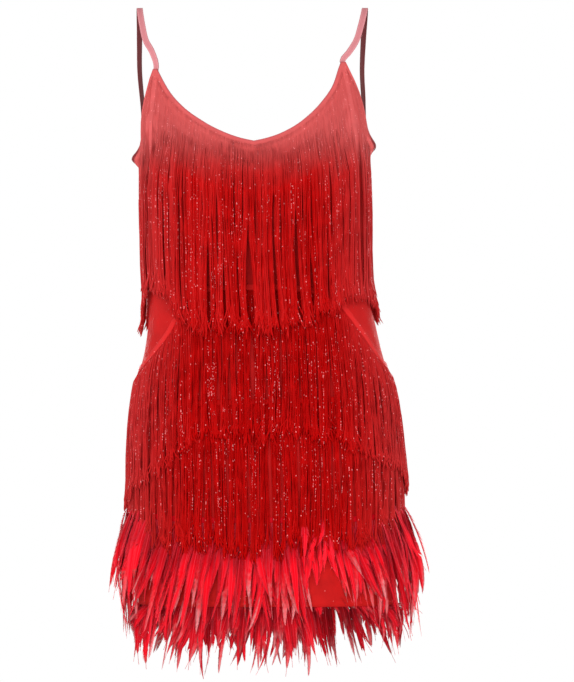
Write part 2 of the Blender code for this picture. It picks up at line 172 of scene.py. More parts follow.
def runOf(points):  # how far along its row each point lies
    return np.concatenate([[0], np.cumsum(np.linalg.norm(np.diff(points, axis=0), axis=1))])


def placesAt(at, run, points):
    return np.stack([np.interp(at, run, points[:, k]) for k in range(3)], -1)


def stretched(points):
    points = points.copy()
    for side, height, reach in underarms:
        level = np.exp(-((points[..., 2] - height) / underarmDepth) ** 2)
        middle = np.exp(-((points[..., 1] / underarmHalfWidth) ** 2))
        points[..., 0] += np.where(points[..., 0] * side > 0, side * reach * level * middle, 0)
    return points


def angleOf(points):
    shift = sectionAt(points[..., 2])[3]
    return np.degrees(np.arctan2(points[..., 0] - shift, -points[..., 1]))


def paintedTopLightShare(points):  # 1 where the cloth is painted lit coral, at the bust, and 0 where it is deep red: painted top light on cloth that is red all over
    return ramp((points[..., 2] - lineAt("litCoral", angleOf(points))) / topLightFade + 0.5)


# A mesh from points in mm and arrays of faces, with a float attribute for each named value
def makePiece(name, points, faceSets, material, values, uv=None):
    mesh = bpy.data.meshes.new(name)
    loops = np.concatenate([faces.ravel() for faces in faceSets]).astype(np.int32)
    sizes = np.concatenate([np.full(len(faces), faces.shape[1]) for faces in faceSets])
    starts = np.concatenate([[0], np.cumsum(sizes)[:-1]]).astype(np.int32)
    mesh.vertices.add(len(points))
    mesh.vertices.foreach_set("co", (points * mm).astype(np.float32).ravel())
    mesh.loops.add(len(loops))
    mesh.loops.foreach_set("vertex_index", loops)
    mesh.polygons.add(len(sizes))
    mesh.polygons.foreach_set("loop_start", starts)
    mesh.update(calc_edges=True)
    mesh.validate()
    for key, numbers in values.items():
        attribute = mesh.attributes.new(key, "FLOAT", "POINT")
        attribute.data.foreach_set("value", np.asarray(numbers, np.float32).ravel())
    if uv is not None:
        layer = mesh.uv_layers.new(name="pieceUv")
        corner = np.empty(len(mesh.loops), np.int32)
        mesh.loops.foreach_get("vertex_index", corner)
        layer.data.foreach_set("uv", uv[corner].astype(np.float32).ravel())
    mesh.shade_smooth()
    mesh.materials.append(material)
    piece = bpy.data.objects.new(name, mesh)
    scene.collection.objects.link(piece)
    return piece


def gridQuads(rows, columns, first=0, closed=False):
    row = np.arange(rows - 1)[:, None] * columns
    column = np.arange(columns if closed else columns - 1)[None, :]
    after = (column + 1) % columns
    corner = first + row + column
    beside = first + row + after
    return np.stack([corner, corner + columns, beside + columns, beside], -1).reshape(-1, 4)


def endCaps(rings, corners):  # the two end faces of a tube made of rings
    ring = np.arange(corners)
    return [ring[None, :], (ring[::-1] + (rings - 1) * corners)[None, :]]


def rides(piece, slot, *nodes):
    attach(piece, "root")
    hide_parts(*nodes)


# Shader pieces

def fill(tree, socket, value):  # a plain value is set, and another node's output is linked
    if isinstance(value, (int, float, tuple)):
        socket.default_value = value
    else:
        tree.links.new(value, socket)


def addNode(tree, kind, **settings):
    node = tree.nodes.new(kind)
    for key, value in settings.items():
        if key in node.inputs:
            fill(tree, node.inputs[key], value)
        else:
            setattr(node, key, value)
    return node


def mathNode(tree, operation, *values):
    node = tree.nodes.new("ShaderNodeMath")
    node.operation = operation
    for socket, value in zip(node.inputs, values):
        fill(tree, socket, value)
    return node.outputs[0]


def product(tree, first, second):
    return mathNode(tree, "MULTIPLY", first, second)


def scaled(tree, source, factor, start):
    return mathNode(tree, "MULTIPLY_ADD", source, factor, start)


def mixColour(tree, factor, first, second, blend="MIX"):
    node = addNode(tree, "ShaderNodeMix", data_type="RGBA", blend_type=blend)
    for index, value in ((0, factor), (6, first), (7, second)):
        fill(tree, node.inputs[index], value)
    return node.outputs[2]


def rampNode(tree, source, low, high):
    values = {"Value": source, "From Min": low, "From Max": high}
    node = addNode(tree, "ShaderNodeMapRange", interpolation_type="SMOOTHSTEP", **values)
    return node.outputs["Result"]


def attributeNode(tree, name):
    return addNode(tree, "ShaderNodeAttribute", attribute_name=name).outputs["Fac"]


def newGroup(name, output, **inputs):  # the inputs are numbers, and Vector
    group = bpy.data.node_groups.new(name, "ShaderNodeTree")
    group.interface.new_socket("Vector", in_out="INPUT", socket_type="NodeSocketVector")
    for label, value in inputs.items():
        socket = group.interface.new_socket(label, in_out="INPUT", socket_type="NodeSocketFloat")
        socket.default_value = value
    group.interface.new_socket(output, in_out="OUTPUT", socket_type="NodeSocketFloat")
    return group, group.nodes.new("NodeGroupInput").outputs, group.nodes.new("NodeGroupOutput")


def useGroup(tree, group, **values):
    return addNode(tree, "ShaderNodeGroup", node_tree=group, **values).outputs[0]


# Scattered bright specks: a mask from the cells of a fine pattern
def makeSpeckGroup():
    group, given, result = newGroup("glitterSpecks", "Mask", Scale=700.0, Share=0.1, Size=0.3)
    cells = addNode(group, "ShaderNodeTexVoronoi", Vector=given["Vector"], Scale=given["Scale"])
    parts = addNode(group, "ShaderNodeSeparateColor", Color=cells.outputs["Color"])
    chosen = mathNode(group, "LESS_THAN", parts.outputs[0], given["Share"])
    near = mathNode(group, "LESS_THAN", cells.outputs["Distance"], given["Size"])
    group.links.new(product(group, chosen, near), result.inputs["Mask"])
    return group


# Fine ribs of a knit, or the twist of a yarn, as a height for a bump
def makeRibGroup():
    group, given, result = newGroup("fineRibs", "Height", Scale=600.0, Break=0.4)
    same = {"Vector": given["Vector"], "Scale": given["Scale"]}
    ribs = addNode(group, "ShaderNodeTexWave", Distortion=1.0, bands_direction="DIAGONAL", **same)
    noise = addNode(group, "ShaderNodeTexNoise", Detail=2.0, **same)
    broken = product(group, noise.outputs["Fac"], given["Break"])
    group.links.new(mathNode(group, "ADD", ribs.outputs["Fac"], broken), result.inputs["Height"])
    return group


speckGroup = makeSpeckGroup()
ribGroup = makeRibGroup()


def startMaterial(name):
    material = bpy.data.materials.new(name)
    material.use_nodes = True
    tree = material.node_tree
    place = tree.nodes.new("ShaderNodeTexCoord").outputs["Object"]
    return material, tree, tree.nodes["Principled BSDF"], place


def setFinish(tree, shader, look, colour, rough):
    for label, value in (("Base Color", colour), ("Roughness", rough),
                         ("Specular IOR Level", look["shine"]), ("Sheen Weight", look["sheen"]),
                         ("Sheen Roughness", look["sheenSpread"]),
                         ("Sheen Tint", look["sheenTint"])):
        fill(tree, shader.inputs[label], value)


def addBump(tree, shader, height, strength, depth):
    bump = addNode(tree, "ShaderNodeBump", Strength=strength, Distance=depth, Height=height)
    tree.links.new(bump.outputs["Normal"], shader.inputs["Normal"])


clothLook = {
    # the coral and fold colours are painted top light: the red cloth painted lighter at the bust, as if
    # lit from above
    "litCoral": (0.63, 0.098, 0.097, 1), "skirt": (0.50, 0.007, 0.007, 1),
    # the inside colour is painted shade: the dark inner face of the cloth and its pulled-out underarm
    # parts
    "inside": (0.13, 0.007, 0.011, 1), "litFold": (0.58, 0.098, 0.104, 1),
    # the speck colour is painted glints on the real glitter threads
    "glintSpeck": (0.86, 0.27, 0.28, 1), "cloudScale": 45.0, "cloudShade": (0.5, 0.75),
    "foldEdge": (2.6, 1.8), "speckScale": 520.0, "speckSize": 0.34, "speckShare": (0.09, 0.01),
    "speckEdge": (5.0, 9.0), "speckGloss": -0.3, "ribScale": 420.0, "bump": (0.35, 0.0006),
    "rough": 0.62, "shine": 0.08, "sheen": 0.02, "sheenSpread": 0.4,
    "sheenTint": (1.0, 0.4, 0.4, 1),
}


def makeClothMaterial(look):
    material, tree, shader, place = startMaterial("glitterKnit")
    # painted top light: the bust is mixed to the lighter coral, the cloth being red all over
    paintedTopLight = attributeNode(tree, "paintedTopLight")
    outer = mixColour(tree, paintedTopLight, look["skirt"], look["litCoral"])
    cloudy = addNode(tree, "ShaderNodeTexNoise", Vector=place, Scale=look["cloudScale"], Detail=3.0)
    shade = scaled(tree, cloudy.outputs["Fac"], *look["cloudShade"])
    outer = mixColour(tree, 1.0, outer, shade, "MULTIPLY")
    distance = attributeNode(tree, "edgeDistance")
    # the turned band at the top edge takes the fold colour, painted lit coral as well
    outer = mixColour(tree, rampNode(tree, distance, *look["foldEdge"]), outer, look["litFold"])
    # glitter specks: real glitter threads painted bright as glints, and more of them where the top
    # light is painted
    specks = useGroup(tree, speckGroup, Vector=place, Scale=look["speckScale"],
                      Share=scaled(tree, paintedTopLight, *look["speckShare"]), Size=look["speckSize"])
    clear = product(tree, specks, rampNode(tree, distance, *look["speckEdge"]))
    outer = mixColour(tree, clear, outer, look["glintSpeck"])
    # painted shade: the inner face, and the outer face where it is pulled out under the arms, take the
    # dark inside colour
    colour = mixColour(tree, attributeNode(tree, "inside"), outer, look["inside"])
    uv = addNode(tree, "ShaderNodeUVMap", uv_map="pieceUv").outputs["UV"]
    ribs = useGroup(tree, ribGroup, Vector=uv, Scale=look["ribScale"], Break=0.5)
    addBump(tree, shader, ribs, *look["bump"])
    setFinish(tree, shader, look, colour, scaled(tree, clear, look["speckGloss"], look["rough"]))
    return material


strapLook = {
    # the inside colour is painted shade on the strap's inner face, which faces the body
    "outside": (0.60, 0.205, 0.225, 1), "inside": (0.13, 0.020, 0.022, 1),
    "stitch": (0.74, 0.34, 0.36, 1), "stitchRun": 0.45, "seamInner": (0.55, 0.62),
    "seamOuter": (0.76, 0.69), "ribScale": 500.0, "bump": (0.35, 0.0005), "rough": 0.55,
    "shine": 0.2, "sheen": 0.08, "sheenSpread": 0.5, "sheenTint": (1.0, 0.7, 0.7, 1),
}


def makeStrapMaterial(look):
    material, tree, shader, place = startMaterial("foldedStrap")
    middle = mathNode(tree, "ABSOLUTE", attributeNode(tree, "across"))
    seam = product(tree, rampNode(tree, middle, *look["seamInner"]),
                   rampNode(tree, middle, *look["seamOuter"]))
    turns = product(tree, attributeNode(tree, "run"), look["stitchRun"])
    dashes = mathNode(tree, "GREATER_THAN", mathNode(tree, "FRACT", turns), 0.3)
    stitches = product(tree, seam, dashes)
    outer = mixColour(tree, stitches, look["outside"], look["stitch"])
    # painted shade: the inner face of the strap takes the dark inside colour
    colour = mixColour(tree, attributeNode(tree, "inside"), outer, look["inside"])
    ribs = useGroup(tree, ribGroup, Vector=place, Scale=look["ribScale"], Break=0.4)
    addBump(tree, shader, scaled(tree, ribs, 0.4, stitches), *look["bump"])
    setFinish(tree, shader, look, colour, look["rough"])
    return material


fringeLook = {
    # the coral colour is painted top light: strands near the neckline painted lighter, as if lit from
    # above
    "litCoral": (0.67, 0.104, 0.102, 1), "deep": (0.50, 0.0005, 0.0005, 1),
    # the side colour is painted side light: strands at the sides painted pinker, as if grazed by light
    "bright": (0.63, 0.011, 0.011, 1), "side": (0.56, 0.040, 0.042, 1),
    # the speck colour is painted glints on the real glitter threads
    "glintSpeck": (0.92, 0.26, 0.27, 1), "speckScale": 430.0, "speckSize": 0.40,
    "speckShare": (0.50, 0.016), "speckGloss": -0.25, "toneRun": (0.2, 1.05), "sideLightShare": 0.55,
    "twistScale": 260.0, "bump": (0.4, 0.0004), "rough": 0.48, "shine": 0.04, "sheen": 0.0,
    "sheenSpread": 0.35, "sheenTint": (1.0, 0.4, 0.4, 1),
}


def makeFringeMaterial(look):
    material, tree, shader, place = startMaterial("twistedYarn")
    tone = rampNode(tree, attributeNode(tree, "tone"), *look["toneRun"])
    red = mixColour(tree, tone, look["deep"], look["bright"])
    # painted side light: towards the sides the strands are mixed to the pinker side colour
    sideways = product(tree, attributeNode(tree, "side"), look["sideLightShare"])
    red = mixColour(tree, sideways, red, look["side"])
    # painted top light: near the neckline the strands are mixed to the lighter coral
    red = mixColour(tree, attributeNode(tree, "paintedTopLight"), red, look["litCoral"])
    # glitter specks along chained strands: real glitter painted bright as glints
    chance = scaled(tree, attributeNode(tree, "glitter"), *look["speckShare"])
    specks = useGroup(tree, speckGroup, Vector=place, Scale=look["speckScale"], Share=chance,
                      Size=look["speckSize"])
    red = mixColour(tree, specks, red, look["glintSpeck"])
    uv = addNode(tree, "ShaderNodeUVMap", uv_map="pieceUv").outputs["UV"]
    twist = useGroup(tree, ribGroup, Vector=uv, Scale=look["twistScale"], Break=0.3)
    addBump(tree, shader, twist, *look["bump"])
    setFinish(tree, shader, look, red, scaled(tree, specks, look["speckGloss"], look["rough"]))
    return material


featherLook = {
    "quill": (0.80, 0.05, 0.08, 1), "heart": (0.76, 0.001, 0.010, 1),
    # the edge colour, lighter than the heart, is painted light shining through the thin barbs
    "edge": (0.92, 0.044, 0.074, 1), "pale": (0.70, 0.22, 0.23, 1),
    "dull": (0.34, 0.10, 0.09, 1), "streakScale": 160.0, "edgeRun": (0.15, 1.0),
    "toneShade": (0.45, 0.80), "rootRun": (0.30, 0.54), "rootShade": (0.42, 0.58),
    "paleRun": (0.55, 1.0), "paleTips": (0.45, 0.8), "dullRun": (0.72, 0.98),
    "dullTips": (0.12, 0.02), "rough": 0.6, "shine": 0.05,
    "sheen": 0.03, "sheenSpread": 0.5, "sheenTint": (1.0, 0.5, 0.55, 1),
}


def makeFeatherMaterial(look):
    material, tree, shader, place = startMaterial("dyedHackle")
    across, along, tipKind = [attributeNode(tree, name) for name in ("across", "along", "tipKind")]
    # painted light: barbs lighter towards their outer ends, as if lit through
    vane = mixColour(tree, rampNode(tree, across, *look["edgeRun"]), look["heart"], look["edge"])
    shade = scaled(tree, attributeNode(tree, "tone"), *look["toneShade"])
    rootShade = scaled(tree, rampNode(tree, along, *look["rootRun"]), *look["rootShade"])
    vane = mixColour(tree, 1.0, vane, product(tree, shade, rootShade), "MULTIPLY")
    streak = addNode(tree, "ShaderNodeTexNoise", Vector=place, Scale=look["streakScale"], Detail=3.0)
    uneven = scaled(tree, mathNode(tree, "SUBTRACT", streak.outputs["Fac"], 0.5), 0.5, along)
    tipwards = scaled(tree, across, 0.12, uneven)
    for kind in ("pale", "dull"):  # some tips are bleached, and a few are dull
        share = product(tree, rampNode(tree, tipwards, *look[f"{kind}Run"]),
                        rampNode(tree, tipKind, *look[f"{kind}Tips"]))
        vane = mixColour(tree, share, vane, look[kind])
    vane = mixColour(tree, attributeNode(tree, "quill"), vane, look["quill"])
    setFinish(tree, shader, look, vane, look["rough"])
    return material


clothMaterial = makeClothMaterial(clothLook)
strapMaterial = makeStrapMaterial(strapLook)
fringeMaterial = makeFringeMaterial(fringeLook)
featherMaterial = makeFeatherMaterial(featherLook)
print("materials made")

# Base cloth: a thin shell on each panel, with a turned top edge and soft creases

cloth = {
    "thickness": 1.0, "sink": 0.15, "rows": 110, "bandWidth": 2.6,
    "bandHeight": 0.35, "neckColumns": 36, "armColumns": 18, "backColumns": 84,
    "bandSoft": 0.8, "pulledOut": 8, "pulledShade": 0.8,
}

# Soft creases: angle, height, lean of the crease, length, width in degrees, depth in mm
creases = {
    "front": ((-70, -150, 10, 70, 3.0, 0.2), (-63, -165, 16, 60, 2.5, -0.3),
              (69, -145, -9, 65, 3.0, 0.2), (60, -168, -14, 55, 2.5, -0.3),
              (-62, -440, 12, 55, 3.0, 0.9), (-72, -462, 10, 45, 2.6, -0.8),
              (64, -432, -12, 50, 3.0, 0.9), (74, -455, -9, 42, 2.6, -0.8),
              (-30, -790, 3, 60, 3.5, 1.1), (-8, -795, -2, 55, 3.0, -0.9),
              (24, -785, 2, 62, 3.6, 1.2), (47, -790, -3, 50, 3.0, -1.0)),
    "back": ((112, -260, -6, 50, 3.0, 0.3), (-115, -265, 6, 52, 3.0, 0.3),
             (150, -330, 4, 80, 4.0, 0.9), (-152, -335, -4, 80, 4.0, -0.8),
             (122, -450, -5, 50, 3.0, 0.8), (-124, -452, 5, 52, 3.0, 0.8),
             (138, -785, 3, 60, 3.4, 1.1), (168, -790, -2, 58, 3.2, -1.0),
             (-160, -788, 2, 60, 3.4, 1.1), (-130, -785, -3, 55, 3.0, -0.9)),
}


def creaseDepth(which, angle, height):
    depth = 0 * angle
    for middle, level, lean, length, width, deep in creases[which]:
        along = (height - level) / length
        beside = (angle - middle - lean * along) / width
        depth = depth + deep * np.exp(-beside**2) * np.exp(-along**2)
    return depth


def panelColumns(which):
    if which == "front":
        neck = np.linspace(-neckEnd, neckEnd, 2 * cloth["neckColumns"] + 1)
        arm = np.concatenate([np.linspace(neckEnd + 0.7, armStart, 3),
                              np.linspace(armStart, sideAngle, cloth["armColumns"])[1:]])
        angle = np.concatenate([-arm[::-1], neck, arm])
        return angle, np.where(np.abs(angle) <= neckEnd, lineAt("neckline", angle),
                               lineAt("armhole", angle))
    angle = 180 + sideAngle * np.linspace(-1, 1, cloth["backColumns"])
    return angle, lineAt("backEdge", angle)


def makePanel(which, node):
    angle, top = panelColumns(which)
    share = np.linspace(0, 1, cloth["rows"]) ** 1.25
    height = top[None, :] + (hemHeight - top[None, :]) * share[:, None]
    around = np.broadcast_to(angle[None, :], height.shape)
    base = onFigure(around, height)
    _, outward = offFigure(base)
    signed = np.where(around > 180, around - 360, around)
    base = base + outward * creaseDepth(which, signed, height)[..., None]
    flatX = base[..., 0]
    base = stretched(base)
    # painted shade on the cloth pulled out under the arms, darker the further it is pulled
    wingShade = np.clip(np.abs(base[..., 0] - flatX) / cloth["pulledOut"], 0, cloth["pulledShade"])
    edge = base[0]
    distance = np.full(height.shape, 99.0)  # to the top edge in mm, worked out only near it
    for row in range(len(height)):
        distance[row] = np.linalg.norm(base[row][:, None] - edge, axis=-1).min(axis=1)
        if distance[row].min() > 40:
            break
    band = np.minimum(distance, height - hemHeight + 0.5)
    rolled = cloth["bandHeight"] * (1 - ramp((band - cloth["bandWidth"]) / cloth["bandSoft"] + 0.5))
    outer = base + outward * (rolled - cloth["sink"])[..., None]
    inner = base - outward * (cloth["sink"] + cloth["thickness"])
    rows, columns = height.shape
    points = np.concatenate([outer, inner]).reshape(-1, 3)
    first = rows * columns
    outside = gridQuads(rows, columns)
    inside = gridQuads(rows, columns, first)[:, ::-1]

    def rim(indices):
        near, far = indices[:-1], indices[1:]
        return np.stack([near, far, far + first, near + first], -1)

    topRow = np.arange(columns)
    rims = [rim(topRow), rim(topRow[::-1] + (rows - 1) * columns),
            rim(np.arange(rows)[::-1] * columns), rim(np.arange(rows) * columns + columns - 1)]
    values = {
        "edgeDistance": np.concatenate([distance.ravel()] * 2),
        # painted shade share: the inner face fully, the underarm parts by how far they are pulled out
        "inside": np.concatenate([wingShade.ravel(), np.ones(first)]),
        "paintedTopLight": paintedTopLightShare(points),
    }
    arc = np.broadcast_to(runOf(base[rows // 2]), height.shape)
    uv = (np.stack([arc, height], -1) * mm).reshape(-1, 2)
    piece = makePiece(f"{node}_cloth", points, [outside, inside] + rims, clothMaterial, values,
                      np.concatenate([uv, uv]))
    rides(piece, "base_cloth", node)
    return piece


frontCloth = makePanel("front", "front_panel")
backCloth = makePanel("back", "back_panel")
print("base cloth made")

# Straps: one folded ribbon each, from behind the front point over the shoulder to the back

strapPlan = {
    "width": 8.6, "thickness": 1.5, "stations": 70, "inside": -3.0, "overlap": 13,
    "front": 74.6, "back": 107, "leanHeight": -60,
    "rows": ((136.2, -28.6, -62, 26), (145.0, -20.0, -47, 16), (151.5, -9.0, -24, 10),
             (155.2, 3.0, -6.5, 4), (156.5, 13.0, 0.8, 0), (156.8, 24.0, -4.5, -8),
             (156.5, 33.0, -19, -22), (156.0, 41.0, -45, -36), (155.2, 47.0, -85, -45),
             (154.2, 48.5, -130, -50), (152.0, 46.0, -168, -52)),
    "profile": ((-1, 0), (-0.97, 0.38), (-0.86, 0.5), (-0.45, 0.44), (0, 0.42), (0.45, 0.44),
                (0.86, 0.5), (0.97, 0.38), (1, 0), (0.97, -0.38), (0.86, -0.5), (0, -0.46),
                (-0.86, -0.5), (-0.97, -0.38)),
}


def strapRoute(side):
    plan = strapPlan
    drops = np.array([plan["overlap"], plan["overlap"] / 2, 0])

    def sewn(line, angle, drop):
        place = onFigure(angle * side, lineAt(line, angle * side) - drop)
        place = seated(place, plan["inside"])
        _, outward = offFigure(place)
        turn = np.degrees(np.arctan(-outward[:, 0] / outward[:, 1]))
        return np.column_stack([place, turn])

    over = np.array(plan["rows"], float)
    over[:, [0, 3]] *= side
    over[:, 0] += sectionAt(over[:, 2])[3] * np.clip(over[:, 2] / plan["leanHeight"], 0, 1)
    rows = np.concatenate([sewn("neckline", plan["front"], drops), over,
                           sewn("backEdge", plan["back"], drops[::-1])])
    run = runOf(rows[:, :3])
    table = np.column_stack([run, rows])
    at = np.linspace(0, run[-1], plan["stations"])
    return at, np.stack([smoothAt(table, column, at) for column in (1, 2, 3, 4)], -1)


def makeStrap(node, side):
    plan = strapPlan
    run, route = strapRoute(side)
    along = unit(np.gradient(route[:, :3], axis=0))
    turn = np.radians(route[:, 3])
    width = np.stack([np.cos(turn), np.sin(turn), 0 * turn], -1)
    width = unit(width - along * (width * along).sum(1)[:, None])
    out = np.cross(width, along)
    out *= np.sign((out * offFigure(route[:, :3])[1]).sum(1) + out[:, 2] * 2)[:, None]
    profile = np.array(plan["profile"], float)
    rings = (route[:, None, :3]
             + width[:, None, :] * (profile[None, :, :1] * plan["width"] / 2)
             + out[:, None, :] * (profile[None, :, 1:] * plan["thickness"]))
    count = len(profile)
    stations = len(rings)
    faces = [gridQuads(stations, count, closed=True)] + endCaps(stations, count)
    values = {"across": np.tile(profile[:, 0], stations), "run": np.repeat(run, count),
              # the inner face, which takes the painted shade
              "inside": np.tile(profile[:, 1] < 0.1, stations)}
    piece = makePiece(f"{node}_ribbon", rings.reshape(-1, 3), faces, strapMaterial, values)
    shape = bmesh.new()
    shape.from_mesh(piece.data)
    bmesh.ops.recalc_face_normals(shape, faces=shape.faces)
    shape.to_mesh(piece.data)
    shape.free()
    rides(piece, "strap_cloth", node)


makeStrap("strap_left", -1)
makeStrap("strap_right", 1)
print("straps made")

# Fringe: a braided tape along each line, and over a thousand fine strands hanging from it

fringePlan = {
    "tape": (0.5, 1.0), "flushTape": (-0.05, 0.05),  # gap to the cloth, and share of its height
    "tapeStep": 1.6, "braidTurns": 2.1, "steepShare": 0.45, "sway": 0.6, "cling": 0.02,
    "liftRun": 16, "radius": 0.74, "radii": (0.8, 1.2), "steps": 36, "sunk": -0.22,
    "layers": (0.0, 0.8, 1.7, 2.4), "layerShares": (0.2, 0.3, 0.3, 0.2),
    "clumpWidth": 5.6, "clumpSizes": (0.35, 1.9), "pull": (0.1, 0.68), "clumpDepth": 1.6,
    "drift": (2.6, 1.1), "clumpSway": 1.5, "longShare": 0.05, "longer": (2, 9),
    "wave": 0.85, "waveTurns": (5, 13), "curlShare": 0.5, "curl": 5.2, "curlOut": 1.2,
    "chainShare": 0.22, "knotAt": (0, 0.05, 0.9, 0.965, 0.985, 1.0),
    "knotRadius": (0.9, 1, 0.95, 1.45, 1.3, 0.35),
    "tapeProfile": ((0, 0), (0, 1.2), (0.7, 1.8), (2.6, 1.5), (4, 1.9), (5.4, 1.5), (7.3, 1.8),
                    (8, 1.2), (8, 0)),
    "shares": (0, 0.03, 0.08, 0.16, 0.27, 0.40, 0.54, 0.68, 0.80, 0.88, 0.94, 0.98, 1.0),
}
lifts = {
    "upper": ((-90, 2.6), (-230, 3.4), (-380, 5.4), (-470, 7.4)),
    "hip": ((-380, 1.6), (-430, 2.4), (-520, 4.2), (-600, 6.4), (-690, 8.4)),
    "lower": ((-540, 1.2), (-600, 1.8), (-700, 3.2), (-755, 4.2)),
}


def neckRoute():
    angle = np.linspace(-71, 71, 900)
    return angle, lineAt("neckline", angle)


def armRoute(side):  # the front edge of an armhole, from the strap down
    angle = np.linspace(76.2, 83, 200)[::side] * side
    return angle, lineAt("armhole", angle)


def sideAndBackRoute():
    arm = np.linspace(82, sideAngle, 120)
    behind = np.linspace(90.05, 269.95, 900)
    angle = np.concatenate([arm, behind, 360 - arm[::-1]])
    height = np.concatenate([lineAt("armhole", arm), lineAt("backEdge", behind),
                             lineAt("armhole", -arm[::-1])])
    return angle, height


def halfRoute(line, which):
    middle = 0 if which == "front" else 180
    angle = np.linspace(middle - sideAngle, middle + sideAngle, 900)
    return angle, lineAt(line, angle)


# The line of a tape, with the direction across it along the cloth
def tapeGuide(route):
    angle, height = route
    place = onFigure(angle, height)
    _, outward = offFigure(place)
    return place, unit(np.cross(np.gradient(place, axis=0), outward))


def makeTape(place, across, inset, gap, wavy=0.18, rise=1.0):
    run = runOf(place)
    count = int(run[-1] / fringePlan["tapeStep"])
    at = np.linspace(0, run[-1], count)
    spot, cross = placesAt(at, run, place), placesAt(at, run, across)
    profile = np.array(fringePlan["tapeProfile"], float)
    rings = []
    for beside, out in profile:
        braid = wavy * np.sin(at * fringePlan["braidTurns"] + beside) * (out > 0)
        rings.append(stretched(seated(spot + cross * (inset + beside), gap + (out + braid) * rise)))
    faces = [gridQuads(count, len(profile), closed=True)] + endCaps(count, len(profile))
    return np.stack(rings, axis=1).reshape(-1, 3), [face[:, ::-1] for face in faces]


# Roots spread along a route: their places, and how far along the level each one is
def spreadRoots(route, inset, strands, rng):
    place, across = tapeGuide(route)
    low = seated(place + across * inset, 1.2)
    moves = np.diff(low, axis=0)
    level = np.hypot(moves[:, 0], moves[:, 1])
    steep = np.hypot(level, fringePlan["steepShare"] * moves[:, 2])
    weight = np.concatenate([[0], np.cumsum(steep)])
    arc = np.concatenate([[0], np.cumsum(level)])
    at = (np.arange(strands) + rng.uniform(-0.45, 0.45, strands) + 0.5) / strands * weight[-1]
    roots = placesAt(at, weight, low)
    roots[:, 2] += rng.uniform(-0.8, 0.8, strands)
    return roots, np.interp(at, weight, arc)


